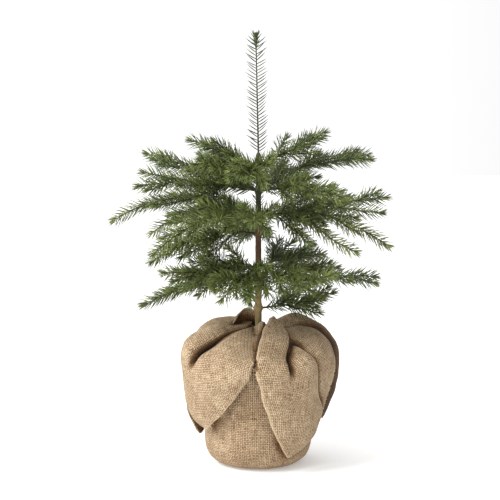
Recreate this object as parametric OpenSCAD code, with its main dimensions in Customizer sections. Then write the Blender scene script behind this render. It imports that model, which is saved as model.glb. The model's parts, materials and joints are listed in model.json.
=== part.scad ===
// Artificial tabletop tree: wire-cored moulded branches on a rod in a weighted pot, under a gathered cloth.
// Millimetres. Origin at the centre of the rest face, +Z up, -Y the side it is looked at from.

/* [Tree] */
// Height of the topmost bud above the rest face
tree_h = 644; // [600:2:680]
// Length of every branch as a share of its set length
spread = 1; // [0.9:0.01:1.05]
// Radius of a branch's moulded stem at its root
stem_r = 2.2; // [1.9:0.1:2.6]
// Radius of a side twig at its root
twig_r = 1.3; // [1.1:0.1:1.6]

/* [Trunk] */
// Diameter of the steel rod inside the trunk
rod_d = 4; // [3:0.2:5]
// Diameter of the bark at the foot of the trunk
bark_d = 12.4; // [11:0.2:15]
// Diameter of the bark at the top of the trunk
bark_top_d = 7; // [6.4:0.2:8]

/* [Branch wires] */
// Diameter of a branch wire
wire_d = 1.2; // [1:0.1:1.4]
// Length of wire inside a branch
wire_len = 30; // [22:1:34]

/* [Pot] */
// Outer diameter of the pot's foot
pot_d = 112; // [104:1:118]
// Outer diameter of the pot's mouth
pot_top_d = 152; // [140:1:156]
// Height of the pot
pot_h = 128; // [100:1:132]
// Wall of the pot
pot_wall = 2; // [1.6:0.1:3]
// Height of the cast weight in the pot
ballast_h = 46; // [30:1:70]

/* [Cloth] */
// Thickness of the cloth
cloth_t = 1.2; // [1:0.1:2]
// Diameter of the twine round the neck
tie_d = 3; // [2:0.2:4]

/* [Which piece] */
// The piece to draw, or all of them

/* [Hidden] */
gap = 0.15;             // fit between pieces that touch
soft_gap = 0.3;         // clearance of cloth and twine
shank_len = 34;         // straight bored part of a branch
shank_start = 5;        // from hinge axis to where the shank begins
loop_r = wire_d / 2 + 0.5;
loop_len = 2.1;
pocket_r = loop_r + gap;
pocket_len = loop_len + 2 * gap;
slot_w = wire_d + 2 * gap;
lip = 1.7;              // from pocket axis to the collar's rim
collar_half = 4.2;
bark_foot = cloth_t + soft_gap + pot_wall + ballast_h + gap;
bark_top = 457;
rod_foot = cloth_t + soft_gap + pot_wall + 6;
rod_top = bark_top + 3;
cap_foot = bark_top + gap;
cap_h = 10;
cap_r = bark_top_d / 2 + 0.9;
leader_z = 463;
leader_lean = -4;       // sideways drift of the leader's bud
round_fn = 48;

// Heights of the six whorls, foot to top
whorl_z = [234, 297, 347, 372, 411, 447];

// Wall behind the root pockets of each whorl: more where more branches crowd round it
pocket_wall = [0.6, 1.2, 0.6, 1.4, 1.4, 1];

function bark_r(z) = (bark_d + (bark_top_d - bark_d) * (z - bark_foot) / (bark_top - bark_foot)) / 2;
function collar_in(w) = bark_r(whorl_z[w] - collar_half) + gap;
function hinge_r(w) = collar_in(w) + pocket_wall[w] + pocket_r;

// One row a branch: whorl, direction in degrees, reach, rise of the tip, arch at mid length, sideways sway,
// and its twigs: place along the branch, side angle, length, lift angle
branches = [
    [5, 160, 108, 36, 3, 0, [[0.4, 34, 44, 0], [0.55, -36, 38, -8]]],
    [5, 205, 104, 6, 4, 4, [[0.4, 40, 50, -14], [0.5, -36, 40, 6], [0.68, 36, 28, 0]]],
    [5, 22, 114, 50, 2, 0, [[0.36, -38, 48, -6], [0.48, 36, 44, 0], [0.66, -32, 30, -8]]],
    [5, 262, 106, -8, 6, 0, [[0.3, 42, 54, 8], [0.38, -44, 58, 2], [0.58, 36, 38, -6], [0.62, -36, 38, 0]]],
    [4, 28, 196, 46, 15, -6, [[0.36, 34, 66, -4], [0.46, -34, 74, -8], [0.66, -28, 58, -14], [0.72, 32, 42, 4]]],
    [4, 321, 158, -2, 8, 0, [[0.3, -42, 62, 6], [0.38, 40, 64, 2], [0.54, -36, 50, -4], [0.66, 34, 42, 6]]],
    [4, 156, 190, 50, 3, 0, [[0.36, -36, 66, -16], [0.5, 34, 66, -8], [0.66, 32, 48, -4], [0.72, -30, 36, 2]]],
    [4, 190, 188, 8, 9, 4, [[0.32, 40, 74, -6], [0.42, -38, 64, 4], [0.58, -26, 68, 17], [0.7, 34, 44, -14]]],
    [4, 122, 172, 44, 3, 0, [[0.36, -36, 62, -4], [0.48, 36, 58, -14], [0.66, -34, 42, 0]]],
    [4, 74, 150, 26, 5, 0, [[0.34, 38, 62, -6], [0.44, -38, 58, -2], [0.64, 34, 42, 0]]],
    [3, 171, 220, -9, 31, 6, [[0.34, -36, 74, -6], [0.42, 36, 70, -14], [0.6, -32, 54, -8]]],
    [3, 199, 166, -18, 24, 6, [[0.36, 38, 60, -14], [0.54, -34, 48, -4], [0.68, 32, 36, -6]]],
    [3, 228, 214, -36, 22, -6, [[0.3, 38, 70, -6], [0.4, -36, 66, 0], [0.56, 34, 54, -6], [0.7, -30, 40, 2]]],
    [3, 10, 206, 26, 3, 0, [[0.3, -38, 70, -6], [0.42, 36, 70, 2], [0.52, -24, 84, -22], [0.72, 30, 46, 12]]],
    [3, 338, 209, -40, 25, 0,
     [[0.2, -60, 88, -48], [0.32, -32, 124, -34], [0.42, 36, 64, 0], [0.56, -34, 52, -8]]],
    [3, 266, 120, 4, 4, 0, [[0.3, 42, 52, 2], [0.38, -42, 52, -4], [0.6, 34, 36, 4]]],
    [2, 204, 170, -34, 19, 0, [[0.34, 38, 60, -10], [0.46, -32, 62, -14], [0.64, 28, 52, -6]]],
    [2, 98, 150, -22, 8, 0, [[0.32, 38, 66, 0], [0.42, -38, 66, -4], [0.62, 34, 46, 0]]],
    [1, 180, 172, -58, 5, 6, [[0.34, 34, 60, -2], [0.48, -34, 62, 0], [0.64, 28, 50, 6]]],
    [1, 352, 186, -25, 6, 0, [[0.32, 38, 64, 6], [0.44, -36, 66, -4], [0.68, 24, 52, 10]]],
    [1, 246, 130, -32, 4, 0, [[0.28, 42, 56, -8], [0.38, -42, 60, 2], [0.6, 34, 40, -4]]],
    [1, 313, 154, 4, -13, 0, [[0.32, 40, 60, 0], [0.42, -36, 60, -4], [0.64, 32, 44, 4]]],
    [1, 48, 152, 2, 6, 0, [[0.3, 38, 66, -2], [0.42, -38, 64, 0], [0.62, 34, 44, -6]]],
    [0, 12, 116, 20, -4, 0, [[0.34, 40, 44, -4], [0.46, -38, 48, 2], [0.62, 32, 34, 0]]],
    [1, 214, 146, -10, 5, 0, [[0.3, 36, 56, -12], [0.42, -36, 66, -2], [0.58, 30, 52, -20]]]
];
branch_count = len(branches);

// Cloth outline, outside, from the rest face up to the pinched neck and its small flare: radius, height
wrap_profile = [
    [59, 0], [64, 2.5], [70, 8], [77, 20], [81, 40], [82, 64], [83, 100], [86, 128], [85, 142], [77, 156],
    [60, 172], [40, 184], [24, 191], [17, 196], [18, 204], [24, 210]
];
neck_r = 17;
tie_z = 199.5;

// One row a folded-down corner: direction, turn of its tip, length along the fold, width, height of its crown, stand-off
corners = [
    [234, -14, 190, 156, 210, 8],
    [308, -6, 228, 156, 210, 8],
    [24, -4, 196, 160, 213, 16],
    [148, 10, 202, 160, 213, 10]
];

two_digits = function(i) str(i < 10 ? "0" : "", i);

// Vectors
function unit(v) = v / norm(v);
function mix(a, b, t) = a + (b - a) * t;

// A branch's centreline in its own upright plane: x outward, y sideways, z up, hinge at zero
function reach_of(b) = b[2] * spread - hinge_r(b[0]);
function along(b, t) = [reach_of(b) * t, b[5] * t * t, b[3] * t + 4 * b[4] * t * (1 - t)];
function slope(b, t) = unit([reach_of(b), 2 * b[5] * t, b[3] + 4 * b[4] * (1 - 2 * t)]);
function shank_t(b) = shank_len / reach_of(b);
function shank_dir(b) = unit(along(b, shank_t(b)));

// A twig leaves at an angle to the branch and bends forward along it
function twig_dir(b, g) =
    let (t = slope(b, g[0]), s = unit(cross([0, 0, 1], t)), u = cross(t, s))
    (t * cos(g[1]) + s * sin(g[1])) * cos(g[3]) + u * sin(g[3]);
function twig_at(b, g, v) =
    along(b, g[0]) + g[2] * spread * (twig_dir(b, g) * (v - 0.3 * v * v) + slope(b, g[0]) * 0.3 * v * v);

// A tapering tube of flat faces through a row of points
module rod_through(path, r0, r1, sides = 6, ref = [0, 0, 1]) {
    last = len(path) - 1;
    points = [for (i = [0:last])
        let (t = unit(path[min(i + 1, last)] - path[max(i - 1, 0)]), s = unit(cross(ref, t)), u = cross(t, s),
             r = mix(r0, r1, i / last))
        for (k = [0:sides - 1]) path[i] + r * (s * cos(360 * k / sides) + u * sin(360 * k / sides))];
    sides_of = [for (i = [0:last - 1]) for (k = [0:sides - 1])
        let (a = i * sides + k, b = i * sides + (k + 1) % sides) each [[a, a + sides, b], [b, a + sides, b + sides]]];
    ends = [[for (k = [0:sides - 1]) k], [for (k = [sides - 1:-1:0]) last * sides + k]];
    polyhedron(points, concat(sides_of, ends), convexity = 4);
}

// Turns +Z on to a direction in a branch's plane, keeping Y sideways
module point_along(d) { rotate([0, 0, atan2(d[1], d[0])]) rotate([0, acos(d[2]), 0]) children(); }

module place_branch(b) {
    rotate([0, 0, b[1]]) translate([hinge_r(b[0]), 0, whorl_z[b[0]]]) children();
}

// Root loop and straight wire
module wire_shape(d) {
    rotate([90, 0, 0]) cylinder(r = loop_r, h = loop_len, center = true, $fn = 32);
    point_along(d) cylinder(d = wire_d, h = wire_len, $fn = 24);
}

module branch_wire(i) {
    color([0.45, 0.46, 0.47]) place_branch(branches[i]) wire_shape(shank_dir(branches[i]));
}

module spray_shape(b) {
    t0 = shank_t(b) * 0.92;
    stem = [for (k = [0:7]) along(b, mix(t0, 1, k / 7))];
    difference() {
        union() {
            point_along(shank_dir(b)) translate([0, 0, shank_start])
                cylinder(r1 = stem_r, r2 = stem_r * 0.93, h = shank_len - shank_start, $fn = 32);
            rod_through(stem, stem_r * 0.92, stem_r * 0.45);
            for (g = b[6])
                rod_through([for (v = [0:3]) twig_at(b, g, v / 3)], twig_r, twig_r * 0.6);
        }
        point_along(shank_dir(b)) cylinder(r = wire_d / 2 + 0.05, h = wire_len + gap, $fn = 24);
    }
}

module branch_spray(i) {
    color([0.2, 0.3, 0.16]) place_branch(branches[i]) spray_shape(branches[i]);
}

// Bound collar of one whorl: a ring with a pocket and an upright slot for each wire root
module whorl_collar(w) {
    r = hinge_r(w);
    difference() {
        translate([0, 0, whorl_z[w] - collar_half])
            cylinder(r = r + lip, h = 2 * collar_half, $fn = round_fn);
        translate([0, 0, whorl_z[w] - collar_half - 1])
            cylinder(r = collar_in(w), h = 2 * collar_half + 2, $fn = round_fn);
        for (b = branches) if (b[0] == w) rotate([0, 0, b[1]]) translate([r, 0, whorl_z[w]]) {
            rotate([90, 0, 0]) cylinder(r = pocket_r, h = pocket_len, center = true, $fn = 32);
            translate([0, -slot_w / 2, -collar_half - 1]) cube([lip + 2, slot_w, 2 * collar_half + 2]);
        }
    }
}
module whorl_collars() { color([0.3, 0.27, 0.17]) for (w = [0:len(whorl_z) - 1]) whorl_collar(w); }

module leader_cap() {
    color([0.22, 0.3, 0.17]) difference() {
        translate([0, 0, cap_foot]) cylinder(r1 = cap_r, r2 = cap_r - 1, h = cap_h, $fn = round_fn);
        translate([0, 0, cap_foot - 1]) cylinder(d = rod_d + 2 * gap, h = rod_top - cap_foot + 1 + gap, $fn = round_fn);
        translate([0, 0, leader_z]) rotate([90, 0, 0])
            cylinder(r = pocket_r, h = pocket_len, center = true, $fn = 32);
        translate([-cap_r, -slot_w / 2, leader_z]) cube([2 * cap_r, slot_w, cap_h]);
    }
}

leader_tip = [leader_lean, 0, tree_h - leader_z];
module place_leader() { translate([0, 0, leader_z]) children(); }
module leader_wire() { color([0.45, 0.46, 0.47]) place_leader() wire_shape(unit(leader_tip)); }
module leader_spray() {
    leader_foot = cap_foot + cap_h - leader_z + 1;
    color([0.2, 0.3, 0.16]) place_leader() difference() {
        union() {
            point_along(unit(leader_tip)) translate([0, 0, leader_foot])
                cylinder(r1 = 1.7, r2 = 1.5, h = shank_len - leader_foot, $fn = 32);
            rod_through([for (k = [0:5]) leader_tip * mix(shank_len * 0.92 / norm(leader_tip), 1, k / 5)],
                        1.5, 1, 6, [0, 1, 0]);
        }
        point_along(unit(leader_tip)) cylinder(r = wire_d / 2 + 0.05, h = wire_len + gap, $fn = 24);
    }
}

module bark_sleeve() {
    color([0.45, 0.33, 0.24]) difference() {
        translate([0, 0, bark_foot])
            cylinder(r1 = bark_r(bark_foot), r2 = bark_r(bark_top), h = bark_top - bark_foot, $fn = round_fn);
        translate([0, 0, bark_foot - 1])
            cylinder(d = rod_d + 2 * gap, h = bark_top - bark_foot + 2, $fn = round_fn);
    }
}
module trunk_core() {
    color([0.5, 0.5, 0.52]) translate([0, 0, rod_foot]) cylinder(d = rod_d, h = rod_top - rod_foot, $fn = round_fn);
}

pot_foot = cloth_t + soft_gap;
function pot_r(h) = (pot_d + (pot_top_d - pot_d) * h / pot_h) / 2;
module pot() {
    color([0.12, 0.12, 0.12]) rotate_extrude($fn = 96) polygon([
        [0, pot_foot], [pot_r(0), pot_foot], [pot_r(pot_h), pot_foot + pot_h],
        [pot_r(pot_h) - pot_wall, pot_foot + pot_h], [pot_r(pot_wall) - pot_wall, pot_foot + pot_wall],
        [0, pot_foot + pot_wall]
    ]);
}
module ballast() {
    foot = pot_foot + pot_wall + gap / 2;
    inset = pot_wall + gap;
    color([0.6, 0.6, 0.58]) difference() {
        translate([0, 0, foot])
            cylinder(r1 = pot_r(pot_wall) - inset, r2 = pot_r(pot_wall + ballast_h) - inset,
                     h = ballast_h - gap / 2, $fn = 96);
        translate([0, 0, rod_foot - gap / 2]) cylinder(d = rod_d + gap, h = ballast_h + 2, $fn = round_fn);
    }
}

module neck_tie() {
    color([0.5, 0.38, 0.24]) translate([0, 0, tie_z])
        rotate_extrude($fn = 64) translate([neck_r + 3 * soft_gap + tie_d / 2, 0]) circle(d = tie_d, $fn = 24);
}

// The inside line of the wrap: each outside point moved in by the cloth's thickness
function inward(p, i) =
    let (a = p[max(i - 1, 0)], c = p[min(i + 1, len(p) - 1)], t = unit(c - a)) p[i] + cloth_t * [-t[1], t[0]];
module wrap() {
    outside = wrap_profile;
    inside = [for (i = [len(outside) - 1:-1:0]) inward(outside, i)];
    rotate_extrude($fn = 96)
        polygon(concat([[0, 0]], outside, inside, [[0, cloth_t]]));
}

// A folded-down corner: from the neck out over the shoulder and down outside the wrap to its point
crown_steps = 10;
fold_t = 2;             // two plies of cloth lying together
across_steps = 6;
full_fold = 214;        // length of the fold whose path reaches the foot of the wrap
function fold_path(c) =
    let (o = c[5]) [[neck_r + 4, 206], [40, c[4]], [64, c[4] - 2], [86 + o / 2, c[4] - 15], [100 + o, 172],
                    [102 + o, 146], [98 + o, 118], [93 + o, 90], [90 + o / 2, 58], [89 + o / 2, 28]];
function fold_at(c, s) =
    let (p = fold_path(c), f = s * (len(p) - 1) * c[2] / full_fold, i = max(0, min(floor(f), len(p) - 2)))
    mix(p[i], p[i + 1], f - i);
function fold_normal(c, s) = let (d = unit(fold_at(c, s + 0.06) - fold_at(c, s - 0.06))) [-d[1], d[0]];
function corner_width(c, s) = c[3] * min(0.2 + 1.2 * s, 1.2 * (1 - s) + 0.05, 0.62);
function corner_point(c, s, v, out) =
    let (q = fold_at(c, s) + (out - 4 * v * v * (1 - s)) * fold_normal(c, s),
         a = c[0] + c[1] * s * s + v * corner_width(c, s) / 2 / max(q[0], 40) * 180 / PI)
    [q[0] * cos(a), q[0] * sin(a), q[1]];
module corner(c) {
    n = across_steps + 1;
    side = [for (out = [fold_t, 0]) for (i = [0:crown_steps]) for (j = [0:across_steps])
        corner_point(c, i / crown_steps, 2 * j / across_steps - 1, out)];
    half = (crown_steps + 1) * n;
    function quad(a, b, c, d) = [[a, b, c], [a, c, d]];
    faces = [
        for (i = [0:crown_steps - 1]) for (j = [0:across_steps - 1]) let (a = i * n + j)
            each concat(quad(a, a + 1, a + n + 1, a + n),
                        quad(half + a, half + a + n, half + a + n + 1, half + a + 1)),
        for (i = [0:crown_steps - 1]) let (a = i * n, b = i * n + across_steps)
            each concat(quad(a, a + n, half + a + n, half + a), quad(b, half + b, half + b + n, b + n)),
        for (j = [0:across_steps - 1]) let (a = j, b = crown_steps * n + j)
            each concat(quad(a, half + a, half + a + 1, a + 1), quad(b, b + 1, half + b + 1, half + b))
    ];
    polyhedron(side, faces, convexity = 6);
}

module burlap_cloth() {
    color([0.71, 0.59, 0.44]) {
        wrap();
        for (c = corners) corner(c);
    }
}

burlap_cloth();
neck_tie();
pot();
ballast();
trunk_core();
bark_sleeve();
whorl_collars();
leader_cap();
leader_wire();
leader_spray();
for (i = [0:branch_count - 1]) {
    branch_wire(i);
    branch_spray(i);
}
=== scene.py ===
import json
import math

import bpy
import numpy as np
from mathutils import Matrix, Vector
from mathutils import noise as bnoise
from mathutils.bvhtree import BVHTree

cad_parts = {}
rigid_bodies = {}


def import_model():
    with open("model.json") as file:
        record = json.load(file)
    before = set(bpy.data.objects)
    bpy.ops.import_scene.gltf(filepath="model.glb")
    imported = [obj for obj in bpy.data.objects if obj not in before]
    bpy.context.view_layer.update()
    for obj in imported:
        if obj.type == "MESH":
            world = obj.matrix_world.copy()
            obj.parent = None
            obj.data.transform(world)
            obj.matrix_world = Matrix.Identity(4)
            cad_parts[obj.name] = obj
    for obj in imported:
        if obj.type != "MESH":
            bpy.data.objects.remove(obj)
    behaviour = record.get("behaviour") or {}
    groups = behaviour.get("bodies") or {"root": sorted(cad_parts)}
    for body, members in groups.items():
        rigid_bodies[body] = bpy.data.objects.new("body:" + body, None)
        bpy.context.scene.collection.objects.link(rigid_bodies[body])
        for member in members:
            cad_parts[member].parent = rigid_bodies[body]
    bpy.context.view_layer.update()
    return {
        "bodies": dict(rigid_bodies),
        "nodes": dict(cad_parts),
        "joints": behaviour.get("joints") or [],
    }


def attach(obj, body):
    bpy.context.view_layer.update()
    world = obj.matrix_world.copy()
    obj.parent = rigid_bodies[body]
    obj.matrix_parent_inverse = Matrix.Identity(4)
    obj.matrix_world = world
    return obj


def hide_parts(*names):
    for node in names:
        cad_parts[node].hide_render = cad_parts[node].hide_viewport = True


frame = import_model()
NODES = frame["nodes"]
JOINTS = {j["child"]: j for j in frame["joints"]}
MM = 0.001


# ---------------------------------------------------------------- small tools
def unit(v):
    """Vectors of length one, along the last axis."""
    v = np.asarray(v, float)
    n = np.linalg.norm(v, axis=-1, keepdims=True)
    return v / np.where(n > 1e-12, n, 1)


def make_mesh(name, verts, faces):
    """A smooth-shaded mesh object in the scene."""
    me = bpy.data.meshes.new(name)
    me.from_pydata([tuple(v) for v in verts], [], faces)
    me.validate()
    me.update()
    me.polygons.foreach_set("use_smooth", [True] * len(me.polygons))
    ob = bpy.data.objects.new(name, me)
    bpy.context.scene.collection.objects.link(ob)
    return ob


def node_points(name):
    """Vertices of a solid, in metres."""
    me = NODES[name].data
    p = np.empty(len(me.vertices) * 3)
    me.vertices.foreach_get("co", p)
    return p.reshape(-1, 3)


def between(a, b, c, d, t):
    """A smooth curve's value between b and c, at t from 0 to 1, where a and d are its next points."""
    low = 2 * b + (c - a) * t + (2 * a - 5 * b + 4 * c - d) * t * t
    return 0.5 * (low + (3 * b - a - 3 * c + d) * t ** 3)


def spline(points, step):
    """Points about step apart on a smooth line through the given points."""
    p = np.asarray(points, float)
    p = np.vstack([2 * p[0] - p[1], p, 2 * p[-1] - p[-2]])
    out = []
    for i in range(1, len(p) - 2):
        a, b, c, d = p[i - 1], p[i], p[i + 1], p[i + 2]
        n = max(2, int(np.linalg.norm(c - b) / step))
        out.append(between(a, b, c, d, np.linspace(0, 1, n, endpoint=False)[:, None]))
    out.append(p[-2][None])
    return np.vstack(out)


def arc(path):
    """Distance along the path at each of its points."""
    return np.concatenate([[0], np.cumsum(np.linalg.norm(np.diff(path, axis=0), axis=1))])


def at(path, s, d):
    """Points at distances d along a path whose own points lie at distances s."""
    return np.stack([np.interp(d, s, path[:, k]) for k in range(3)], axis=-1)


def cut(path, short):
    """The path without its last stretch, which the needles at its tip make up for."""
    d = arc(path)
    return at(path, d, np.linspace(0, d[-1] - short, len(path)))


def side_shoot(path, start, turn, rise, length):
    """A short shoot that leaves the path sideways, nearer the trunk than the wired twigs."""
    s = arc(path)
    b, c = at(path, s, np.array([start, start + 3 * MM]))
    t = unit(c - b)
    side = unit(np.array([-t[1], t[0], 0]))
    d = unit(t * math.cos(turn) + side * math.sin(turn) + np.array([0, 0, rise]))
    k = np.linspace(0, 1, 14)[:, None]
    return b + length * (d * k + t * 0.18 * k * k)


def side_frame(t):
    """Sideways and upward directions across a row of directions."""
    ref = np.where(np.abs(t[..., 2:3]) > 0.9, [[0.0, 1.0, 0.0]], [[0.0, 0.0, 1.0]])
    s = unit(np.cross(ref, t))
    return s, np.cross(t, s)


def grid_faces(n, m, first=0, wrap=False):
    """Quads over n rows of m points, numbered from first; with wrap each row is a ring."""
    faces = []
    for i in range(n - 1):
        for j in range(m if wrap else m - 1):
            a, b = first + i * m + j, first + i * m + (j + 1) % m
            faces.append((a, b, b + m, a + m))
    return faces


def ring_faces(n, sides):
    """Faces of a tube of n rings, closed at both ends."""
    ends = [tuple(range(sides))[::-1], tuple((n - 1) * sides + k for k in range(sides))]
    return grid_faces(n, sides, wrap=True) + ends


class Parts:
    """Several shapes gathered into one mesh."""

    def __init__(self):
        self.points, self.faces, self.count = [], [], 0

    def add(self, points, faces):
        self.points.append(points)
        self.faces += [tuple(k + self.count for k in face) for face in faces]
        self.count += len(points)

    def mesh(self, name):
        return make_mesh(name, np.vstack(self.points), self.faces)


def tube(path, radii, sides):
    """Points and faces of a round stem along the path."""
    t = unit(np.gradient(path, axis=0))
    s, u = side_frame(t)
    a = np.linspace(0, 2 * np.pi, sides, endpoint=False)
    ring = s[:, None] * np.cos(a)[None, :, None] + u[:, None] * np.sin(a)[None, :, None]
    v = (path[:, None] + ring * np.asarray(radii)[:, None, None]).reshape(-1, 3)
    return v, ring_faces(len(path), sides)


# ---------------------------------------------------------------- shoots, read from the solid stems
def rings_of(name, hinge):
    """Rings of six points that a stem is drawn with, past its round shank, and which of them it joins."""
    me = NODES[name].data
    raw = np.round(node_points(name) / MM, 3)
    p, where = np.unique(raw, axis=0, return_inverse=True)
    where = where.reshape(-1)
    beyond = np.where(np.linalg.norm(p - hinge, axis=1) > 35.5)[0]
    q = p[beyond]
    d = np.sqrt(((q[:, None] - q[None]) ** 2).sum(-1))
    i, j = np.where(np.triu((d > 1.2) & (d < 4.3), 1))
    mid, size = (q[i] + q[j]) / 2, d[i, j]
    key = np.round(np.column_stack([mid, size]) * 4).astype(int)
    order = np.lexsort(key.T)
    found = []
    for start in order:
        if any(np.abs(mid[start] - f[0]).max() < 0.05 for f in found):
            continue
        same = np.where((np.abs(mid - mid[start]).max(1) < 0.01) & (np.abs(size - size[start]) < 0.01))[0]
        if len(same) == 3:
            ids = set(beyond[np.concatenate([i[same], j[same]])].tolist())
            if len(ids) == 6:
                found.append((mid[start], size[start] / 2, ids))
    owner = {v: k for k, f in enumerate(found) for v in f[2]}
    links = set()
    for e in me.edges:
        a, b = owner.get(int(where[e.vertices[0]])), owner.get(int(where[e.vertices[1]]))
        if a is not None and b is not None and a != b:
            links.add((min(a, b), max(a, b)))
    return found, links


def shoots_of(body, wire, spray):
    """The main stem's line and its twigs' lines, in metres, read from the rings of the solid stem."""
    hinge = np.array(JOINTS[body]["pos_m"]) / MM
    far = node_points(wire) / MM
    far = far[np.argsort(-np.linalg.norm(far - hinge, axis=1))[:20]].mean(0)
    rings, links = rings_of(spray, hinge)
    group = list(range(len(rings)))
    for _ in rings:
        for a, b in links:
            group[a] = group[b] = min(group[a], group[b])
    chains = [sorted([rings[k] for k in range(len(rings)) if group[k] == g], key=lambda r: -r[1])
              for g in set(group)]
    chains.sort(key=lambda c: -c[0][1])
    main = [hinge, far] + [r[0] for c in chains for r in c if len(c) > 0 and c[0][1] > 1.2 and r[1] > 0.96]
    main = [main[0]] + sorted(main[1:], key=lambda x: np.linalg.norm(x - hinge))
    lines = [np.array(main)]
    for c in chains:
        if c[0][1] < 1.2 and len(c) == 3:
            a, b, t = (r[0] for r in c)
            lines.append(np.array([3 * a - 3 * b + t, a, b, t]))
    return [spline(x, 2.5) * MM for x in lines]


# ---------------------------------------------------------------- needles
GOLDEN = 2.39996                 # turn from one needle to the next round a shoot, in radians
TUFT = 5                         # extra needles at a shoot's tip
NEEDLE_LONG, NEEDLES_PER_MM = 18.5 * MM, 1.1
NEEDLE_ALONG = np.linspace(0, 1, 4)                          # where a needle's four rings of three points lie
NEEDLE_RADII = np.array([0.6, 0.86, 0.74, 0.2])              # their radii, as shares of its thickness
STEM_SIDES = 8


def needles(path, rng, per_mm, length, start=0.0, around=None, lean=53.0, thick=MM, tint=0.5, bow=0.16,
            jitter=0.9):
    """Curved, tapering needles all along a shoot, closest at its tip: points, faces, and each point's tone
    and place along its needle."""
    s = arc(path)
    total = s[-1]
    n = max(6, int((total - start) / MM * per_mm))
    d = start + (total - start) * (np.arange(n) + rng.uniform(0, jitter, n)) / n
    d = np.concatenate([d, total - rng.uniform(0, 3.0, TUFT) * MM])
    n = len(d)
    base = at(path, s, d)
    t = unit(at(path, s, np.minimum(d + 2 * MM, total)) - at(path, s, np.maximum(d - 2 * MM, 0)))
    side, up = side_frame(t)
    a = (np.arange(n) * GOLDEN + rng.normal(0, 0.2, n)) if around is None else around(np.arange(n), rng)
    out = side * np.cos(a)[:, None] + up * np.sin(a)[:, None]
    near_tip = np.clip(1 - (total - d) / (14 * MM), 0, 1)
    ang = np.radians(lean + rng.normal(0, 5, n)) * (1 - 0.6 * near_tip ** 1.5)
    # needles under the shoot lie closer to it, and those beside it stand out
    ang *= 1 - 0.12 * np.clip(-np.sin(a), 0, 1)
    size = length * (1 + rng.normal(0, 0.07, n)) * (1 - 0.42 * near_tip)
    size *= np.clip(0.72 + d / (30 * MM), 0.72, 1)
    first = t * np.cos(ang)[:, None] + out * np.sin(ang)[:, None]
    bend = rng.normal(bow, 0.3 * bow, n)
    spin = rng.uniform(0, 2 * np.pi, n)
    q = unit(np.cross(first, out + 1e-3))
    w = np.cross(first, q)
    c, e = np.cos(spin)[:, None], np.sin(spin)[:, None]
    q, w = q * c + w * e, -q * e + w * c
    rows = []
    for x, r in zip(NEEDLE_ALONG, NEEDLE_RADII * thick):
        mid = base + size[:, None] * (first * x + t * (bend * x * x)[:, None])
        for m in range(3):
            th = 2 * math.pi * m / 3
            rows.append(mid + r * (1.0 * q * math.cos(th) + 0.8 * w * math.sin(th)))
    v = np.stack(rows, axis=1)                       # needle, its 12 points, 3
    each = (np.arange(n) * 12)[:, None, None]
    sides = (np.array(grid_faces(4, 3, wrap=True))[None] + each).reshape(-1, 4)
    ends = (np.array([[9, 10, 11]])[None] + each).reshape(-1, 3)
    tone = np.repeat(np.clip(rng.normal(tint, 0.26, n), 0, 1), 12)
    along = np.tile(np.repeat(NEEDLE_ALONG, 3), n)
    return v.reshape(-1, 3), [tuple(x) for x in sides.tolist() + ends.tolist()], tone, along


def shoot_mesh(name, lines, rng, stem_radii, per_mm=NEEDLES_PER_MM, length=NEEDLE_LONG, starts=(0,), **kw):
    """One spray: its stems, and the needles on them, as one mesh. The first of the radii and starts is the
    main stem's and the second is every other stem's. A start is how far along it the needles begin."""
    parts, tone, along, mat = Parts(), [], [], []
    for i, path in enumerate(lines):
        v, f = tube(path, np.linspace(*stem_radii[min(i, 1)], len(path)), STEM_SIDES)
        parts.add(v, f)
        tone.append(np.full(len(v), 0.5))
        along.append(np.linspace(0, 1, len(path)).repeat(STEM_SIDES))
        mat += [0] * len(f)
        v, f, tones, places = needles(path, rng, per_mm, length, start=starts[min(i, len(starts) - 1)], **kw)
        parts.add(v, f)
        tone.append(tones)
        along.append(places)
        mat += [1] * len(f)
    ob = parts.mesh(name)
    me = ob.data
    for m in (STEM, GREEN):
        me.materials.append(m)
    me.polygons.foreach_set("material_index", mat)
    for key, values in (("tone", tone), ("along", along)):
        me.attributes.new(key, "FLOAT", "POINT").data.foreach_set("value", np.concatenate(values))
    return ob


# ---------------------------------------------------------------- materials
def material(name, rough):
    """A new material, its node tree and its shader."""
    m = bpy.data.materials.new(name)
    m.use_nodes = True
    nt = m.node_tree
    p = nt.nodes["Principled BSDF"]
    p.inputs["Roughness"].default_value = rough
    return m, nt, p


def ramp(nt, fac, stops):
    """Colours from a list of places and colours."""
    r = nt.nodes.new("ShaderNodeValToRGB")
    e = r.color_ramp.elements
    while len(e) < len(stops):
        e.new(0.5)
    for x, (pos, col) in zip(e, stops):
        x.position, x.color = pos, (*col, 1)
    nt.links.new(fac, r.inputs["Fac"])
    return r.outputs["Color"]


def noise(nt, scale, detail=3, rough=0.5, stretch=None):
    tc = nt.nodes.new("ShaderNodeTexCoord")
    src = tc.outputs["Object"]
    if stretch:
        mp = nt.nodes.new("ShaderNodeMapping")
        mp.inputs["Scale"].default_value = stretch
        nt.links.new(src, mp.inputs["Vector"])
        src = mp.outputs["Vector"]
    n = nt.nodes.new("ShaderNodeTexNoise")
    n.inputs["Scale"].default_value = scale
    n.inputs["Detail"].default_value = detail
    n.inputs["Roughness"].default_value = rough
    nt.links.new(src, n.inputs["Vector"])
    return n.outputs["Fac"]


def math_node(nt, op, a, b=None, c=None):
    n = nt.nodes.new("ShaderNodeMath")
    n.operation = op
    for i, x in enumerate((a, b, c)):
        if x is None:
            continue
        if isinstance(x, (int, float)):
            n.inputs[i].default_value = x
        else:
            nt.links.new(x, n.inputs[i])
    return n.outputs[0]


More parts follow.
